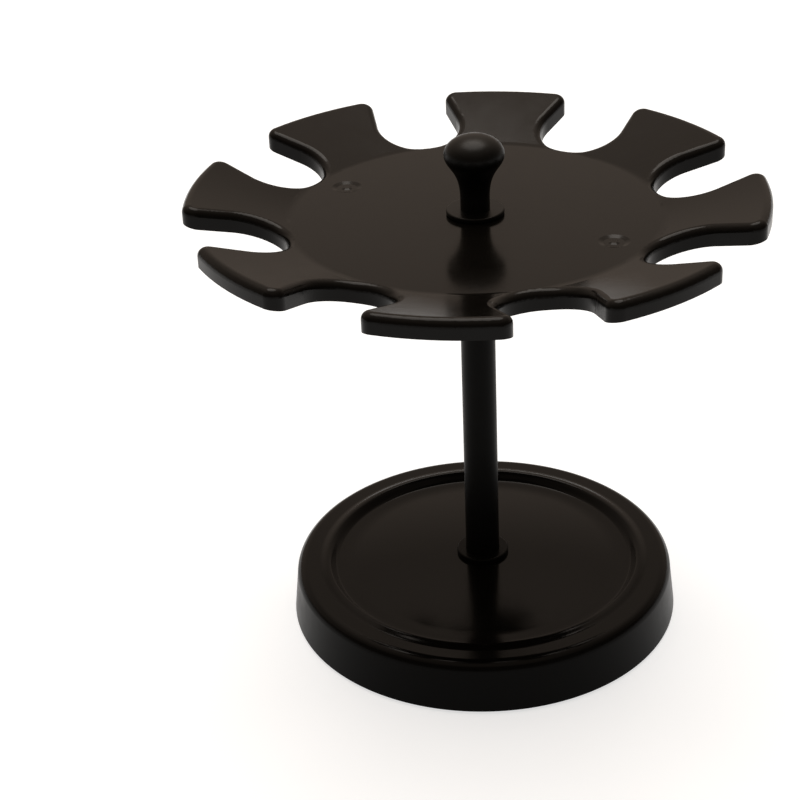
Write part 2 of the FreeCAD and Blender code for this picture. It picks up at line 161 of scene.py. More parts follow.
# --- how finely round shapes are divided ----------------------------------------------------
LARGE_STEPS = 256
KNOB_STEPS = 144
SMALL_STEPS = 48
NUT_FLAT_STEPS = 16
INSERT_TOOTH_STEPS = 4
SHOULDER_STEPS = 20
BEAD_STEPS = 12
CROWN_STEPS = 16
INNER_CORNER_STEPS = 8
NECK_STEPS = 32
DOME_STEPS = 24
PAD_EDGE_STEPS = 6
THREAD_ROWS = 6                  # rows of faces for each turn of a thread
WELD = 0.0005                    # millimetres
SHARP_DEG = 32.0

# --- camera and room, in metres and degrees -------------------------------------------------
CAMERA_PLACE = (-0.1152, -0.4302, 0.3119)
CAMERA_HEADING_DEG = 12.22       # clockwise from +Y
CAMERA_DIP_DEG = 28.96           # below the horizon
CAMERA_ROLL_DEG = -2.61
CAMERA_LENS_MM = 84.46
SENSOR_MM = 36.0
FLOOR_SIZE = 60.0


def linear(hex_colour):
    """Linear RGBA from an sRGB hex colour."""
    channels = [int(hex_colour[i:i + 2], 16) / 255 for i in (1, 3, 5)]
    return tuple(c / 12.92 if c <= 0.04045 else ((c + 0.055) / 1.055) ** 2.4 for c in channels) + (1.0,)


def node(tree, kind, links=None, **settings):
    """Add one node: settings are its properties, links its inputs or their values."""
    made = tree.nodes.new(kind)
    for name, value in settings.items():
        setattr(made, name, value)
    for name, value in (links or {}).items():
        if isinstance(value, bpy.types.NodeSocket):
            tree.links.new(value, made.inputs[name])
        else:
            made.inputs[name].default_value = value
    return made


# --- materials ------------------------------------------------------------------------------
def new_material(name):
    material = bpy.data.materials.new(name)
    material.use_nodes = True
    material.node_tree.nodes.clear()
    return material, material.node_tree


def place_in_mm(tree):
    """Object coordinates with one unit to the millimetre, so that 1 / size is a texture's scale."""
    coordinates = node(tree, "ShaderNodeTexCoord")
    scaled = node(tree, "ShaderNodeVectorMath", {0: coordinates.outputs["Object"], 1: (1 / MM,) * 3},
                  operation="MULTIPLY")
    return scaled.outputs["Vector"]


def gloss_moulded_abs(name, dark, light, roughness, specular):
    """ABS moulded in a polished tool: deep gloss that a faint orange peel and hairlines break up.

    Steep sides tend to rub along the tool as the part leaves it, so they are duller than the tops.
    """
    side_rub = 0.1                       # roughness that the steep sides gain
    drift_size, cloud_size = 24.0, 7.0   # slow changes of tone and of gloss
    peel_size, peel_depth = 1.4, 0.0035
    sink_size, sink_depth = 16.0, 0.02
    # Real hairlines are a few hundredths of a millimetre wide, so these are drawn wider to show.
    hairline_width, hairline_length, hairline_dullness = 0.35, 14.0, 0.08
    material, tree = new_material(name)
    place = place_in_mm(tree)
    drift = node(tree, "ShaderNodeTexNoise", {"Vector": place, "Scale": 1 / drift_size, "Detail": 3.0})
    tone = node(tree, "ShaderNodeMix", {"Factor": drift.outputs["Fac"], "A": linear(dark),
                                        "B": linear(light)}, data_type="RGBA")
    peel = node(tree, "ShaderNodeTexNoise", {"Vector": place, "Scale": 1 / peel_size, "Detail": 2.0})
    sink = node(tree, "ShaderNodeTexNoise", {"Vector": place, "Scale": 1 / sink_size, "Detail": 1.0})
    marks = None
    for turn_deg in (24.0, 113.0):
        stretched = node(tree, "ShaderNodeMapping", {
            "Vector": place, "Rotation": (0, 0, math.radians(turn_deg)),
            "Scale": (1 / hairline_length, 1 / hairline_width, 1 / hairline_length)})
        hairs = node(tree, "ShaderNodeTexNoise", {"Vector": stretched.outputs["Vector"], "Scale": 1.0,
                                                  "Detail": 2.0})
        picked = node(tree, "ShaderNodeMapRange", {"Value": hairs.outputs["Fac"], "From Min": 0.66,
                                                   "From Max": 0.78})
        if marks is None:
            marks = picked.outputs["Result"]
        else:
            marks = node(tree, "ShaderNodeMath", {0: marks, 1: picked.outputs["Result"]},
                         operation="MAXIMUM").outputs[0]
    cloud = node(tree, "ShaderNodeTexNoise", {"Vector": place, "Scale": 1 / cloud_size, "Detail": 5.0,
                                              "Roughness": 0.65})
    haze = node(tree, "ShaderNodeMapRange", {"Value": cloud.outputs["Fac"], "From Min": 0.3,
                                             "From Max": 0.7, "To Min": roughness * 0.85,
                                             "To Max": roughness * 1.2})
    scratched = node(tree, "ShaderNodeMath", {0: marks, 1: hairline_dullness, 2: haze.outputs["Result"]},
                     operation="MULTIPLY_ADD")
    outward = node(tree, "ShaderNodeNewGeometry").outputs["Normal"]
    upward = node(tree, "ShaderNodeSeparateXYZ", {0: outward}).outputs["Z"]
    rub = node(tree, "ShaderNodeMapRange", {"Value": upward, "From Min": 0.35, "From Max": 0.85,
                                            "To Min": side_rub, "To Max": 0.0})
    rough = node(tree, "ShaderNodeMath", {0: scratched.outputs[0], 1: rub.outputs["Result"]},
                 operation="ADD")
    waves = node(tree, "ShaderNodeBump", {"Height": sink.outputs["Fac"], "Strength": 1.0,
                                          "Distance": sink_depth * MM})
    skin = node(tree, "ShaderNodeBump", {"Height": peel.outputs["Fac"], "Strength": 1.0,
                                         "Distance": peel_depth * MM, "Normal": waves.outputs["Normal"]})
    shader = node(tree, "ShaderNodeBsdfPrincipled", {
        "Base Color": tone.outputs["Result"], "Roughness": rough.outputs[0],
        "Normal": skin.outputs["Normal"], "IOR": 1.5, "Specular IOR Level": specular})
    node(tree, "ShaderNodeOutputMaterial", {"Surface": shader.outputs["BSDF"]})
    return material


def plain_stock(name, dark, light, grain_mm, roughness, bump_mm, metallic=0.0, ior=1.5, specular=0.5):
    """One even stock: a grain that drifts between two tones and gives the surface its tooth.

    The real grains are mostly under 0.3 mm, so each is drawn as coarse as it needs to show.
    """
    material, tree = new_material(name)
    place = place_in_mm(tree)
    grain = node(tree, "ShaderNodeTexNoise", {"Vector": place, "Scale": 1 / grain_mm, "Detail": 5.0})
    tone = node(tree, "ShaderNodeMix", {"Factor": grain.outputs["Fac"], "A": linear(dark),
                                        "B": linear(light)}, data_type="RGBA")
    rough = node(tree, "ShaderNodeMapRange", {"Value": grain.outputs["Fac"], "From Min": 0.3,
                                              "From Max": 0.7, "To Min": roughness * 0.8,
                                              "To Max": roughness * 1.25})
    tooth = node(tree, "ShaderNodeBump", {"Height": grain.outputs["Fac"], "Strength": 1.0,
                                          "Distance": bump_mm * MM})
    shader = node(tree, "ShaderNodeBsdfPrincipled", {
        "Base Color": tone.outputs["Result"], "Roughness": rough.outputs["Result"],
        "Normal": tooth.outputs["Normal"], "Metallic": metallic, "IOR": ior,
        "Specular IOR Level": specular})
    node(tree, "ShaderNodeOutputMaterial", {"Surface": shader.outputs["BSDF"]})
    return material


# Rack and base: warm black that mirrors the room in soft patches.
RACK_ABS = gloss_moulded_abs("gloss_moulded_abs_rack", "#070605", "#0A0907", 0.15, 0.11)
BASE_ABS = gloss_moulded_abs("gloss_moulded_abs_base", "#060605", "#090807", 0.15, 0.09)
# Shaded copy of the base's ABS for the wall: the same colours with a weaker reflection, so it mirrors
# less than the base's top, a painted shade that renders the wall darker.
SHADED_BASE_WALL_ABS = gloss_moulded_abs("shaded_moulded_abs_base_wall", "#060605", "#090807", 0.2, 0.045)
# Post: wider and weaker highlights than on the rack.
POST_ABS = gloss_moulded_abs("gloss_moulded_abs_post", "#080807", "#0B0A09", 0.26, 0.05)
# Knob: a blurred gloss, so that its dome carries one broad highlight.
KNOB_ABS = gloss_moulded_abs("gloss_moulded_abs_knob", "#060605", "#080806", 0.30, 0.12)
# Spark-eroded tool: an even grain that scatters the light and looks matt.
COVER_ABS = plain_stock("spark_eroded_abs", "#121110", "#1A1917", 0.5, 0.5, 0.02)
# Rubber: the dullest surface here, dark and without a clear highlight.
RUBBER = plain_stock("moulded_rubber", "#16150F", "#24221C", 0.8, 0.75, 0.02, ior=1.52)
# Steel under a thin dark coat: dark grey with a blurred metallic glint.
COATED_STEEL = plain_stock("dip_coated_steel", "#2A2A2B", "#3A393A", 1.2, 0.4, 0.01, metallic=0.6)
# Zinc plate: pale cool metal with a slightly uneven shine.
ZINC = plain_stock("zinc_plated_steel", "#A9ABA8", "#C6C8C4", 0.9, 0.3, 0.006, metallic=1.0)
# Blackened spring steel: dark metal with a low sheen.
SPRING_STEEL = plain_stock("oil_black_spring_steel", "#2B2A2C", "#3D3B3B", 0.7, 0.35, 0.006, metallic=1.0)
# Turned brass: warm yellow, and the smoothest of the metals.
BRASS = plain_stock("turned_brass", "#B08D45", "#C9A75C", 0.6, 0.28, 0.008, metallic=1.0)
# Acetal: milky white with a waxy gloss.
ACETAL = plain_stock("moulded_acetal", "#CBC7BC", "#D9D5CB", 1.6, 0.32, 0.006, ior=1.48)
# Nylon sheet: ivory, and duller than the acetal.
NYLON = plain_stock("stamped_nylon", "#B9B29F", "#CDC7B5", 1.2, 0.45, 0.01, ior=1.53)

CAD_FINISHES = {
    "rack_disc": RACK_ABS,
    "base_cover": COVER_ABS,
    "post_tube": POST_ABS,
    "foot_ring": POST_ABS,
    "knob_ring": KNOB_ABS,
    "ballast_ring": COATED_STEEL,
    "lock_washer": SPRING_STEEL,
    "rod_washer": ZINC,
    "pivot_cap": ACETAL,
    "hub_bush": ACETAL,
    "lower_slip_washer": NYLON,
    "upper_slip_washer": NYLON,
}


# --- outlines, as (radius, height) in millimetres -------------------------------------------
def arc_points(centre, size, start_deg, end_deg, count):
    """Points along an arc, both of its ends among them."""
    angles = [math.radians(start_deg + (end_deg - start_deg) * i / count) for i in range(count + 1)]
    return [(centre[0] + size * math.cos(a), centre[1] + size * math.sin(a)) for a in angles]


def ease_points(start, end, count):
    """Soft step from one level to the next, flat at both ends; the start itself is left out."""
    points = []
    for i in range(1, count + 1):
        share = i / count
        lift = (1 - math.cos(math.pi * share)) / 2
        points.append((start[0] + (end[0] - start[0]) * share, start[1] + (end[1] - start[1]) * lift))
    return points


def bezier_points(poles, count):
    """Cubic Bezier curve through its end poles; the first one is left out."""
    points = []
    for i in range(1, count + 1):
        t = i / count
        weights = ((1 - t) ** 3, 3 * t * (1 - t) ** 2, 3 * t * t * (1 - t), t ** 3)
        points.append(tuple(sum(w * pole[axis] for w, pole in zip(weights, poles)) for axis in (0, 1)))
    return points


def crown_points(edge, count):
    """Shallow dome from the moat up to the flat land that the foot ring stands on."""
    centre = ((LAND_RADIUS ** 2 - edge[0] ** 2 + CROWN_TOP ** 2 - edge[1] ** 2)
              / (2 * (CROWN_TOP - edge[1])))
    size = math.hypot(edge[0], edge[1] - centre)
    radii = [edge[0] + (LAND_RADIUS - edge[0]) * i / count for i in range(count + 1)]
    return [(r, centre + math.sqrt(size ** 2 - r ** 2)) for r in radii]


def base_outline():
    """Closed section of the cap: wall, rings and dome, post socket, hollow underside."""
    slope = math.tan(math.radians(BASE_DRAFT_DEG))
    shoulder_foot = LEDGE_TOP - SHOULDER_RADIUS
    shoulder_end = BASE_RADIUS - (shoulder_foot - BASE_BOTTOM) * slope - SHOULDER_RADIUS
    ledge = (shoulder_end - LEDGE_WIDTH, LEDGE_TOP)
    bead = (ledge[0] - BEAD_OUTER_RUN, BEAD_TOP)
    moat = (bead[0] - BEAD_INNER_RUN, MOAT_TOP)
    inner_radius = BASE_RADIUS - BASE_WALL
    corner_foot = ROOF - INNER_CORNER
    inner_top = inner_radius - (corner_foot - BASE_BOTTOM) * slope
    points = [(BASE_RADIUS, BASE_BOTTOM)]
    points += arc_points((shoulder_end, shoulder_foot), SHOULDER_RADIUS, 0, 90, SHOULDER_STEPS)
    points += [ledge]
    points += ease_points(ledge, bead, BEAD_STEPS)
    points += ease_points(bead, moat, BEAD_STEPS)
    points += crown_points((moat[0] - MOAT_WIDTH, MOAT_TOP), CROWN_STEPS)
    points += [(POST_HOLE_RADIUS, CROWN_TOP), (POST_HOLE_RADIUS, POST_BOTTOM),
               (ROD_HOLE_RADIUS, POST_BOTTOM), (ROD_HOLE_RADIUS, SOCKET_BOTTOM),
               (SOCKET_RADIUS, SOCKET_BOTTOM), (SOCKET_RADIUS, ROOF)]
    points += arc_points((inner_top - INNER_CORNER, corner_foot), INNER_CORNER, 90, 0, INNER_CORNER_STEPS)
    points += [(inner_radius, BASE_BOTTOM), (BASE_RADIUS, BASE_BOTTOM)]
    return points


def boss_outline():
    """Screw boss with its blind pilot hole, bored from below."""
    top = ROOF + EMBED
    pilot_top = SCREW_TOP + SCREW_PILOT_SPARE
    return [(0, pilot_top), (SCREW_PILOT_RADIUS, pilot_top), (SCREW_PILOT_RADIUS, COVER_TOP),
            (SCREW_BOSS_RADIUS, COVER_TOP), (SCREW_BOSS_RADIUS, top), (0, top)]


def knob_outline():
    """Half section of the knob, from the insert's pocket round to the top of the dome."""
    widest = KNOB_TOP - KNOB_CROWN_HEIGHT
    neck_end = KNOB_FOOT + KNOB_NECK_LENGTH
    body = widest - neck_end
    points = [(0, INSERT_TOP), (INSERT_RADIUS, INSERT_TOP), (INSERT_RADIUS, INSERT_BOTTOM),
              (ROD_HOLE_RADIUS, INSERT_BOTTOM), (ROD_HOLE_RADIUS, KNOB_FOOT),
              (KNOB_NECK_RADIUS, KNOB_FOOT), (KNOB_NECK_RADIUS, neck_end)]
    neck = [(KNOB_NECK_RADIUS, neck_end), (KNOB_NECK_RADIUS, neck_end + NECK_PULL * body),
            (KNOB_RADIUS, widest - BELLY_PULL * body), (KNOB_RADIUS, widest)]
    dome = [(KNOB_RADIUS, widest), (KNOB_RADIUS, widest + QUARTER_ROUND * KNOB_CROWN_HEIGHT),
            (QUARTER_ROUND * KNOB_RADIUS, KNOB_TOP), (0, KNOB_TOP)]
    return points + bezier_points(neck, NECK_STEPS) + bezier_points(dome, DOME_STEPS)


def threaded_rows(start, end, pitch):
    """Heights between two levels, close enough together to carry a thread."""
    count = math.ceil((end - start) / pitch * THREAD_ROWS)
    return [start + (end - start) * i / count for i in range(1, count)]


def rod_outline():
    """Tie rod: chamfered ends with a plain shank between its two threads."""
    low_end = ROD_THREAD_START + ROD_THREAD_LENGTH
    high_start = ROD_THREAD_END - ROD_THREAD_LENGTH
    rows = [ROD_THREAD_START, *threaded_rows(ROD_THREAD_START, low_end, ROD_PITCH), low_end,
            high_start, *threaded_rows(high_start, ROD_THREAD_END, ROD_PITCH), ROD_THREAD_END]
    return [(0, ROD_BOTTOM), (ROD_RADIUS - ROD_CHAMFER, ROD_BOTTOM),
            *[(ROD_RADIUS, z) for z in rows], (ROD_RADIUS - ROD_CHAMFER, ROD_TOP), (0, ROD_TOP)]


def screw_outline():
    """Countersunk tapping screw, head down, with a blunt tip."""
    shank_end = SCREW_TOP - SCREW_RADIUS / 2
    rows = threaded_rows(SCREW_SHANK_START, shank_end, SCREW_PITCH)
    return [(0, SCREW_BOTTOM), (SCREW_HEAD_RADIUS, SCREW_BOTTOM),
            *[(SCREW_RADIUS, z) for z in (SCREW_SHANK_START, *rows, shank_end)],
            (SCREW_RADIUS / 2, SCREW_TOP), (0, SCREW_TOP)]


def nut_outline():
    """Hexagon nut before its flats are cut: a disc with both faces chamfered."""
    drop = (NUT_CORNER - NUT_ACROSS / 2) * math.tan(math.radians(NUT_CHAMFER_DEG))
    inner = NUT_ACROSS / 2
    return [(NUT_BORE, NUT_TOP), (NUT_BORE, NUT_BOTTOM), (inner, NUT_BOTTOM),
            (NUT_CORNER, NUT_BOTTOM + drop), (NUT_CORNER, NUT_TOP - drop), (inner, NUT_TOP),
            (NUT_BORE, NUT_TOP)]


def insert_outline():
    """Brass insert: a bush with a plain groove round its middle."""
    middle = (INSERT_BOTTOM + INSERT_TOP) / 2
    low_lip, high_lip = middle - INSERT_GROOVE_WIDTH / 2, middle + INSERT_GROOVE_WIDTH / 2
    groove = INSERT_RADIUS - INSERT_GROOVE_DEPTH
    return [(ROD_RADIUS, INSERT_TOP), (ROD_RADIUS, INSERT_BOTTOM), (INSERT_RADIUS, INSERT_BOTTOM),
            (INSERT_RADIUS, low_lip), (groove, low_lip), (groove, high_lip),
            (INSERT_RADIUS, high_lip), (INSERT_RADIUS, INSERT_TOP), (ROD_RADIUS, INSERT_TOP)]


def pad_outline():
    """Rubber foot with moulded grip rings in its face, which rests on the table."""
    lip, floor = PAD_GROOVE_REACH, PAD_GROOVE_REACH / 2
    points = [(0, 0)]
    for ring in PAD_GROOVES:
        points += [(ring - lip, 0), (ring - floor, PAD_GROOVE_DEPTH),
                   (ring + floor, PAD_GROOVE_DEPTH), (ring + lip, 0)]
    points += arc_points((PAD_RADIUS - PAD_EDGE, PAD_EDGE), PAD_EDGE, -90, 0, PAD_EDGE_STEPS)
    return points + [(PAD_RADIUS, PAD_TOP), (0, PAD_TOP)]


# --- Geometry Nodes -------------------------------------------------------------------------
def geometry_tree(name, inputs):
    """Empty modifier tree with a geometry input and output and the named inputs."""
    tree = bpy.data.node_groups.new(name, "GeometryNodeTree")
    tree.is_modifier = True
    tree.interface.new_socket("Geometry", in_out="OUTPUT", socket_type="NodeSocketGeometry")
    tree.interface.new_socket("Geometry", in_out="INPUT", socket_type="NodeSocketGeometry")
    for label, kind in inputs.items():
        tree.interface.new_socket(label, in_out="INPUT", socket_type="NodeSocket" + kind)
    return tree, node(tree, "NodeGroupInput").outputs


def end_tree(tree, geometry, finish):
    """Ends a tree as plain geometry in the piece's finish."""
    whole = node(tree, "GeometryNodeRealizeInstances", {"Geometry": geometry})
    painted = node(tree, "GeometryNodeSetMaterial", {"Geometry": whole.outputs["Geometry"],
                                                     "Material": finish})
    node(tree, "NodeGroupOutput", {"Geometry": painted.outputs["Geometry"]})
    return tree


def revolve_tree():
    """Turns an outline, whose points lie in order in the XZ plane, about the Z axis."""
    tree, given = geometry_tree("revolve_outline", {"Steps": "Int", "Weld": "Float",
                                                    "Finish": "Material"})
    outline = node(tree, "GeometryNodeAttributeDomainSize", {"Geometry": given["Geometry"]},
                   component="MESH")
    rows = outline.outputs["Point Count"]
    columns = node(tree, "FunctionNodeIntegerMath", {0: given["Steps"], 1: 1}, operation="ADD")
    grid = node(tree, "GeometryNodeMeshGrid", {"Vertices X": columns.outputs[0], "Vertices Y": rows})
    index = node(tree, "GeometryNodeInputIndex").outputs["Index"]
    column = node(tree, "FunctionNodeIntegerMath", {0: index, 1: rows}, operation="DIVIDE_FLOOR")
    row = node(tree, "FunctionNodeIntegerMath", {0: index, 1: rows}, operation="MODULO")
    position = node(tree, "GeometryNodeInputPosition").outputs["Position"]
    point = node(tree, "GeometryNodeSampleIndex", {"Geometry": given["Geometry"]},
                 data_type="FLOAT_VECTOR", domain="POINT")
    tree.links.new(position, point.inputs["Value"])
    tree.links.new(row.outputs[0], point.inputs["Index"])
    share = node(tree, "ShaderNodeMath", {0: column.outputs[0], 1: given["Steps"]}, operation="DIVIDE")
    angle = node(tree, "ShaderNodeMath", {0: share.outputs[0], 1: math.tau}, operation="MULTIPLY")
    turned = node(tree, "ShaderNodeVectorRotate", {"Vector": point.outputs["Value"],
                                                   "Angle": angle.outputs[0]}, rotation_type="Z_AXIS")
    surface = node(tree, "GeometryNodeSetPosition", {"Geometry": grid.outputs["Mesh"],
                                                     "Position": turned.outputs["Vector"]})
    closed = node(tree, "GeometryNodeMergeByDistance", {"Geometry": surface.outputs["Geometry"],
                                                        "Distance": given["Weld"]})
    return end_tree(tree, closed.outputs["Geometry"], given["Finish"])


def round_the_axis(tree):
    """Fields that the cutting trees share: the place, its distance and angle about Z."""
    position = node(tree, "GeometryNodeInputPosition").outputs["Position"]
    parts = node(tree, "ShaderNodeSeparateXYZ", {0: position})
    flat = node(tree, "ShaderNodeCombineXYZ", {0: parts.outputs["X"], 1: parts.outputs["Y"]})
    reach = node(tree, "ShaderNodeVectorMath", {0: flat.outputs["Vector"]}, operation="LENGTH")
    angle = node(tree, "ShaderNodeMath", {0: parts.outputs["Y"], 1: parts.outputs["X"]},
                 operation="ARCTAN2")
    return flat.outputs["Vector"], reach.outputs["Value"], angle.outputs[0], parts.outputs["Z"]


def thread_tree():
    """Cuts a helical thread into a turned shank between two heights."""
    tree, given = geometry_tree("cut_thread", {"Pitch": "Float", "Depth": "Float", "Low": "Float",
                                               "High": "Float", "Finish": "Material"})
    flat, _, angle, height = round_the_axis(tree)
    turns = node(tree, "ShaderNodeMath", {0: height, 1: given["Pitch"]}, operation="DIVIDE")
    start = node(tree, "ShaderNodeMath", {0: angle, 1: math.tau}, operation="DIVIDE")
    phase = node(tree, "ShaderNodeMath", {0: turns.outputs[0], 1: start.outputs[0]}, operation="SUBTRACT")
    saw = node(tree, "ShaderNodeMath", {0: phase.outputs[0], 1: 0.5}, operation="PINGPONG")
    deep = node(tree, "ShaderNodeMath", {0: saw.outputs[0], 1: given["Depth"]}, operation="MULTIPLY")
    inward = node(tree, "ShaderNodeMath", {0: deep.outputs[0], 1: -2.0}, operation="MULTIPLY")
    outward = node(tree, "ShaderNodeVectorMath", {0: flat}, operation="NORMALIZE")
    shift = node(tree, "ShaderNodeVectorMath", {0: outward.outputs["Vector"],
                                                "Scale": inward.outputs[0]}, operation="SCALE")
    above = node(tree, "ShaderNodeMath", {0: height, 1: given["Low"]}, operation="GREATER_THAN")
    below = node(tree, "ShaderNodeMath", {0: height, 1: given["High"]}, operation="LESS_THAN")
    inside = node(tree, "ShaderNodeMath", {0: above.outputs[0], 1: below.outputs[0]},
                  operation="MULTIPLY")
    cut = node(tree, "GeometryNodeSetPosition", {"Geometry": given["Geometry"],
                                                 "Selection": inside.outputs[0],
                                                 "Offset": shift.outputs["Vector"]})
    return end_tree(tree, cut.outputs["Geometry"], given["Finish"])


def flats_tree():
    """Cuts equal flats into a turned piece: six make a nut, many make the teeth of a knurl."""
    tree, given = geometry_tree("cut_flats", {"Flats": "Int", "Across": "Float", "Finish": "Material"})
    flat, reach, angle, _ = round_the_axis(tree)
    sector = node(tree, "ShaderNodeMath", {0: math.tau, 1: given["Flats"]}, operation="DIVIDE")
    half = node(tree, "ShaderNodeMath", {0: sector.outputs[0], 1: 0.5}, operation="MULTIPLY")
    folded = node(tree, "ShaderNodeMath", {0: angle, 1: half.outputs[0]}, operation="PINGPONG")
    aside = node(tree, "ShaderNodeMath", {0: half.outputs[0], 1: folded.outputs[0]}, operation="SUBTRACT")
    lean = node(tree, "ShaderNodeMath", {0: aside.outputs[0]}, operation="COSINE")
    middle = node(tree, "ShaderNodeMath", {0: given["Across"], 1: 0.5}, operation="MULTIPLY")
    limit = node(tree, "ShaderNodeMath", {0: middle.outputs[0], 1: lean.outputs[0]}, operation="DIVIDE")
    kept = node(tree, "ShaderNodeMath", {0: reach, 1: limit.outputs[0]}, operation="MINIMUM")
    extra = node(tree, "ShaderNodeMath", {0: kept.outputs[0], 1: reach}, operation="SUBTRACT")
    outward = node(tree, "ShaderNodeVectorMath", {0: flat}, operation="NORMALIZE")
    shift = node(tree, "ShaderNodeVectorMath", {0: outward.outputs["Vector"],
                                                "Scale": extra.outputs[0]}, operation="SCALE")
    cut = node(tree, "GeometryNodeSetPosition", {"Geometry": given["Geometry"],
                                                 "Offset": shift.outputs["Vector"]})
    return end_tree(tree, cut.outputs["Geometry"], given["Finish"])


def slot_tree():
    """Cuts a driver slot across a screw's head, which faces down."""
    tree, given = geometry_tree("cut_slot", {"Width": "Float", "Depth": "Float", "Face": "Float",
                                             "Reach": "Float", "Finish": "Material"})
    tall = node(tree, "ShaderNodeMath", {0: given["Depth"], 1: 2.0}, operation="MULTIPLY")
    size = node(tree, "ShaderNodeCombineXYZ", {"X": given["Reach"], "Y": given["Width"],
                                               "Z": tall.outputs[0]})
    place = node(tree, "ShaderNodeCombineXYZ", {"Z": given["Face"]})
    block = node(tree, "GeometryNodeMeshCube", {"Size": size.outputs["Vector"]})
    cutter = node(tree, "GeometryNodeTransform", {"Geometry": block.outputs["Mesh"],
                                                  "Translation": place.outputs["Vector"]})
    cut = node(tree, "GeometryNodeMeshBoolean", {"Mesh 1": given["Geometry"],
                                                 "Mesh 2": cutter.outputs["Geometry"]},
               operation="DIFFERENCE", solver="EXACT")
    return end_tree(tree, cut.outputs["Mesh"], given["Finish"])


def copies_tree():
    """Sets copies of a piece at equal angles about the Z axis, each turned outwards."""
    tree, given = geometry_tree("ring_of_copies", {
        "Copies": "Int", "Place Radius": "Float", "First Angle": "Float", "Loose Turn": "Float",
        "Seed": "Int", "Finish": "Material"})
    index = node(tree, "GeometryNodeInputIndex").outputs["Index"]
    share = node(tree, "ShaderNodeMath", {0: index, 1: given["Copies"]}, operation="DIVIDE")
    angle = node(tree, "ShaderNodeMath", {0: share.outputs[0], 1: math.tau, 2: given["First Angle"]},
                 operation="MULTIPLY_ADD")
    spoke = node(tree, "ShaderNodeCombineXYZ", {"X": given["Place Radius"]})
    place = node(tree, "ShaderNodeVectorRotate", {"Vector": spoke.outputs["Vector"],
                                                  "Angle": angle.outputs[0]}, rotation_type="Z_AXIS")
    points = node(tree, "GeometryNodePoints", {"Count": given["Copies"],
                                               "Position": place.outputs["Vector"]})
    loose = node(tree, "FunctionNodeRandomValue", {"Seed": given["Seed"]}, data_type="FLOAT")
    turn = node(tree, "ShaderNodeMath", {0: loose.outputs["Value"], 1: given["Loose Turn"],
                                         2: angle.outputs[0]}, operation="MULTIPLY_ADD")
    spin = node(tree, "FunctionNodeAxisAngleToRotation", {"Axis": (0, 0, 1), "Angle": turn.outputs[0]})
    copies = node(tree, "GeometryNodeInstanceOnPoints", {"Points": points.outputs["Points"],
                                                         "Instance": given["Geometry"],
                                                         "Rotation": spin.outputs["Rotation"]})
    return end_tree(tree, copies.outputs["Instances"], given["Finish"])


REVOLVE = revolve_tree()
THREAD = thread_tree()
FLATS = flats_tree()
SLOT = slot_tree()
COPIES = copies_tree()


# --- pieces ---------------------------------------------------------------------------------
def outline_mesh(points):
    """Edges through points given as (radius, height)."""
    mesh = bpy.data.meshes.new("outline")
    corners = [(r * MM, 0, z * MM) for r, z in points]
    mesh.from_pydata(corners, [(i, i + 1) for i in range(len(corners) - 1)], [])
    return mesh


def block_mesh(start, end):
    """Box between two corners."""
    mesh = bpy.data.meshes.new("block")
    shape = bmesh.new()
    bmesh.ops.create_cube(shape, size=1.0)
    for vertex in shape.verts:
        vertex.co = [(start[i] + (end[i] - start[i]) * (vertex.co[i] + 0.5)) * MM for i in range(3)]
    shape.to_mesh(mesh)
    shape.free()
    return mesh


def worked(mesh, steps, finish):
    """Plain mesh after a chain of Geometry Nodes steps, each a tree and its named inputs."""
    blank = bpy.data.objects.new("blank", mesh)
    bpy.context.scene.collection.objects.link(blank)
    for tree, values in steps:
        modifier = blank.modifiers.new(tree.name, "NODES")
        modifier.node_group = tree
        for item in tree.interface.items_tree:
            if item.in_out == "INPUT" and item.name in values:
                modifier[item.identifier] = values[item.name]
            elif item.in_out == "INPUT" and item.name == "Finish":
                modifier[item.identifier] = finish
    made = bpy.data.meshes.new_from_object(blank.evaluated_get(bpy.context.evaluated_depsgraph_get()))
    bpy.data.objects.remove(blank)
    if made.materials[0] is None:
        made.materials.pop(index=0)      # the blank's own empty slot
    return made


def revolved(points, steps, finish, *later):
    """Outline turned about the Z axis in so many steps, and then cut by the later trees."""
    first = (REVOLVE, {"Steps": steps, "Weld": WELD * MM})
    return worked(outline_mesh(points), [first, *later], finish)


def copied(mesh, count, place_radius, first_deg, finish, loose_deg=0.0, seed=0):
    """Ring of copies, each turned by a further random angle of up to loose_deg."""
    step = (COPIES, {"Copies": count, "Place Radius": place_radius * MM,
                     "First Angle": math.radians(first_deg), "Loose Turn": math.radians(loose_deg),
                     "Seed": seed})
    return worked(mesh, [step], finish)


def piece(name, meshes, body, replaced):
    """One smooth object from finished meshes, in place of the CAD nodes that it stands for."""
    shape = bmesh.new()
    for mesh in meshes:
        shape.from_mesh(mesh)
    whole = bpy.data.meshes.new(name)
    shape.to_mesh(whole)
    shape.free()
    whole.materials.append(meshes[0].materials[0])
    whole.shade_smooth()
    whole.set_sharp_from_angle(angle=math.radians(SHARP_DEG))
    made = bpy.data.objects.new(name, whole)
    bpy.context.scene.collection.objects.link(made)
    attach(made, body)
    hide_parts(*replaced)
    return made


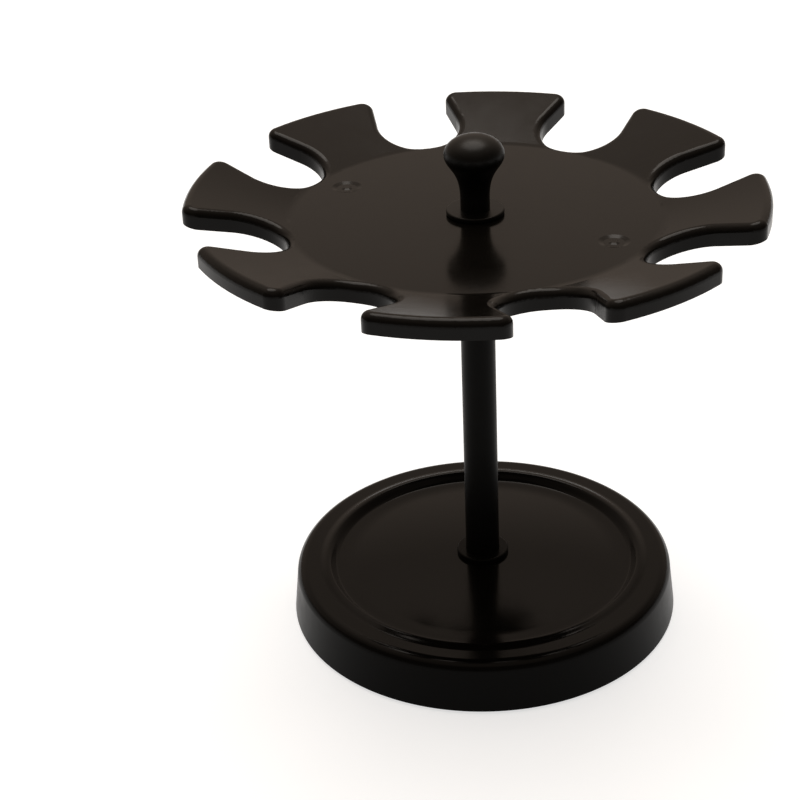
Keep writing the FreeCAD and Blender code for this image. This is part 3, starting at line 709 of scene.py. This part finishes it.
def make_base():
    """Turned cap with the ribs that hold the ballast down and the bosses for the screws."""
    cap = revolved(base_outline(), LARGE_STEPS, BASE_ABS)
    rib = block_mesh((SOCKET_RADIUS - EMBED, -BASE_RIB_THICKNESS / 2, BALLAST_TOP),
                     (BASE_RADIUS - BASE_WALL, BASE_RIB_THICKNESS / 2, ROOF + EMBED))
    ribs = copied(rib, BASE_RIB_COUNT, 0.0, 0.0, BASE_ABS)
    boss = revolved(boss_outline(), SMALL_STEPS, BASE_ABS)
    bosses = copied(boss, SCREW_COUNT, SCREW_PLACE_RADIUS, SCREW_FIRST_DEG, BASE_ABS)
    base = piece("base_cap", [cap, ribs, bosses], "stand", ["base_shell"])
    # The wall and the shoulder's foot take the shaded copy: painted shade that darkens them against the
    # top.
    base.data.materials.append(SHADED_BASE_WALL_ABS)
    wall_start = (BASE_RADIUS - BASE_WALL) * MM      # beyond it lie the wall and the shoulder's foot
    for face in base.data.polygons:
        if math.hypot(face.center.x, face.center.y) > wall_start:
            face.material_index = 1


def make_knob():
    piece("finger_knob", [revolved(knob_outline(), KNOB_STEPS, KNOB_ABS)], "stand",
          ["knob"])


def make_screws():
    any_turn_deg, turn_seed = 180.0, 5
    screw = revolved(
        screw_outline(), SMALL_STEPS, ZINC,
        (THREAD, {"Pitch": SCREW_PITCH * MM, "Depth": SCREW_THREAD_DEPTH * MM,
                  "Low": (SCREW_SHANK_START + SCREW_PITCH / 2) * MM,
                  "High": (SCREW_TOP - SCREW_RADIUS) * MM}),
        (SLOT, {"Width": SCREW_SLOT_WIDTH * MM, "Depth": SCREW_SLOT_DEPTH * MM,
                "Face": SCREW_BOTTOM * MM, "Reach": 3 * SCREW_HEAD_RADIUS * MM}))
    screws = copied(screw, SCREW_COUNT, SCREW_PLACE_RADIUS, SCREW_FIRST_DEG, ZINC, any_turn_deg,
                    turn_seed)
    piece("countersunk_screws", [screws], "stand", ["cover_screws"])


def make_feet():
    pad = revolved(pad_outline(), 2 * SMALL_STEPS, RUBBER)
    pads = copied(pad, PAD_COUNT, PAD_PLACE_RADIUS, PAD_FIRST_DEG, RUBBER)
    piece("rubber_feet", [pads], "stand",
          ["foot_pad_%d" % number for number in range(1, PAD_COUNT + 1)])


def make_rod():
    thread = {"Pitch": ROD_PITCH * MM, "Depth": ROD_THREAD_DEPTH * MM}
    rod = revolved(
        rod_outline(), SMALL_STEPS, ZINC,
        (THREAD, {**thread, "Low": ROD_THREAD_START * MM,
                  "High": (ROD_THREAD_START + ROD_THREAD_LENGTH) * MM}),
        (THREAD, {**thread, "Low": (ROD_THREAD_END - ROD_THREAD_LENGTH) * MM,
                  "High": ROD_THREAD_END * MM}))
    piece("threaded_rod", [rod], "stand", ["tie_rod"])


def make_nut():
    nut = revolved(nut_outline(), NUT_FLATS * NUT_FLAT_STEPS, ZINC,
                   (FLATS, {"Flats": NUT_FLATS, "Across": NUT_ACROSS * MM}))
    piece("hexagon_nut", [nut], "stand", ["rod_nut"])


def make_insert():
    across = 2 * (INSERT_RADIUS - INSERT_TOOTH_DEPTH)
    insert = revolved(insert_outline(), INSERT_TEETH * INSERT_TOOTH_STEPS, BRASS,
                      (FLATS, {"Flats": INSERT_TEETH, "Across": across * MM}))
    piece("splined_insert", [insert], "stand", ["knob_insert"])


# --- room -----------------------------------------------------------------------------------
def make_floor():
    """Pale paper: its lift, for the eye and for reflections, brings the lit paper up to white."""
    paper_colour, lift_strength = "#BEC4C9", 0.66
    mesh = bpy.data.meshes.new("floor")
    half = FLOOR_SIZE / 2
    mesh.from_pydata([(-half, -half, 0), (half, -half, 0), (half, half, 0), (-half, half, 0)], [],
                     [(0, 1, 2, 3)])
    floor = bpy.data.objects.new("floor", mesh)
    bpy.context.scene.collection.objects.link(floor)
    material, tree = new_material("white_paper_floor")
    paths = node(tree, "ShaderNodeLightPath")
    mirrored = node(tree, "ShaderNodeMath", {0: paths.outputs["Is Glossy Ray"],
                                             1: paths.outputs["Is Transmission Ray"]},
                    operation="MAXIMUM")
    seen = node(tree, "ShaderNodeMath", {0: paths.outputs["Is Camera Ray"], 1: mirrored.outputs[0]},
                operation="MAXIMUM")
    strength = node(tree, "ShaderNodeMath", {0: seen.outputs[0], 1: lift_strength}, operation="MULTIPLY")
    paper = node(tree, "ShaderNodeBsdfDiffuse", {"Color": linear(paper_colour)})
    lift = node(tree, "ShaderNodeEmission", {"Color": (1, 1, 1, 1), "Strength": strength.outputs[0]})
    surface = node(tree, "ShaderNodeAddShader", {0: paper.outputs["BSDF"], 1: lift.outputs["Emission"]})
    node(tree, "ShaderNodeOutputMaterial", {"Surface": surface.outputs["Shader"]})
    mesh.materials.append(material)


def make_world():
    """Soft room: dim in front, brighter and warm behind, rising from the horizon to the ceiling."""
    front, behind, horizon_share, ceiling_share = 0.22, 0.62, 0.55, 2.4
    # Where the room changes, as parts of a direction of length 1: along +Y, and then upwards.
    front_end, behind_start = -0.4, 0.8
    wall_top, ceiling_start, ceiling_end = 0.45, 0.56, 0.85
    wall_colour = "#FFE9D6"
    world = bpy.data.worlds.new("soft_room")
    world.use_nodes = True
    tree = world.node_tree
    tree.nodes.clear()
    direction = node(tree, "ShaderNodeTexCoord").outputs["Generated"]
    parts = node(tree, "ShaderNodeSeparateXYZ", {"Vector": direction})
    depth = node(tree, "ShaderNodeMapRange", {"Value": parts.outputs["Y"], "From Min": front_end,
                                              "From Max": behind_start, "To Min": front,
                                              "To Max": behind}, interpolation_type="SMOOTHSTEP")
    rise = node(tree, "ShaderNodeMapRange", {"Value": parts.outputs["Z"], "From Min": 0.0,
                                             "From Max": wall_top, "To Min": horizon_share,
                                             "To Max": 1.0}, interpolation_type="SMOOTHSTEP")
    ceiling = node(tree, "ShaderNodeMapRange", {"Value": parts.outputs["Z"], "From Min": ceiling_start,
                                                "From Max": ceiling_end, "To Min": 1.0,
                                                "To Max": ceiling_share})
    wall = node(tree, "ShaderNodeMath", {0: depth.outputs["Result"], 1: rise.outputs["Result"]},
                operation="MULTIPLY")
    level = node(tree, "ShaderNodeMath", {0: wall.outputs[0], 1: ceiling.outputs["Result"]},
                 operation="MULTIPLY")
    background = node(tree, "ShaderNodeBackground", {"Color": linear(wall_colour),
                                                     "Strength": level.outputs[0]})
    node(tree, "ShaderNodeOutputWorld", {"Surface": background.outputs["Background"]})
    bpy.context.scene.world = world


def add_round_lamp(name, place, target, width, watts, colour):
    light = bpy.data.lights.new(name, "AREA")
    light.shape = "DISK"
    light.size = width
    light.energy = watts
    light.color = linear(colour)[:3]
    lamp = bpy.data.objects.new(name, light)
    lamp.location = place
    lamp.rotation_euler = (Vector(target) - Vector(place)).to_track_quat("-Z", "Y").to_euler()
    bpy.context.scene.collection.objects.link(lamp)


def make_lights():
    """One large softbox, above the rack and a little behind it."""
    middle = (0, 0, 0.07)
    softbox_place, softbox_width, softbox_watts = (0.09, 0.41, 1.40), 1.08, 11.5
    add_round_lamp("overhead_softbox", softbox_place, middle, softbox_width, softbox_watts, "#FFF8F0")


def make_camera():
    """Camera at its place, turned by heading, dip and roll."""
    heading, dip, roll = (math.radians(a) for a in (CAMERA_HEADING_DEG, CAMERA_DIP_DEG, CAMERA_ROLL_DEG))
    forward = Vector((math.sin(heading) * math.cos(dip), math.cos(heading) * math.cos(dip),
                      -math.sin(dip)))
    level = Vector((math.cos(heading), -math.sin(heading), 0))
    upright = level.cross(forward)
    right = math.cos(roll) * level + math.sin(roll) * upright
    up = -math.sin(roll) * level + math.cos(roll) * upright
    data = bpy.data.cameras.new("camera")
    data.lens = CAMERA_LENS_MM
    data.sensor_width = SENSOR_MM
    camera = bpy.data.objects.new("camera", data)
    axes = Matrix((right, up, -forward)).transposed()
    camera.matrix_world = Matrix.Translation(CAMERA_PLACE) @ axes.to_4x4()
    bpy.context.scene.collection.objects.link(camera)
    bpy.context.scene.camera = camera


for node_name, finish in CAD_FINISHES.items():
    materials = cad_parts[node_name].data.materials
    materials.clear()
    materials.append(finish)

make_base()
make_knob()
make_screws()
make_feet()
make_rod()
make_nut()
make_insert()
make_floor()
make_world()
make_lights()
make_camera()
bpy.context.scene.view_settings.view_transform = "Standard"
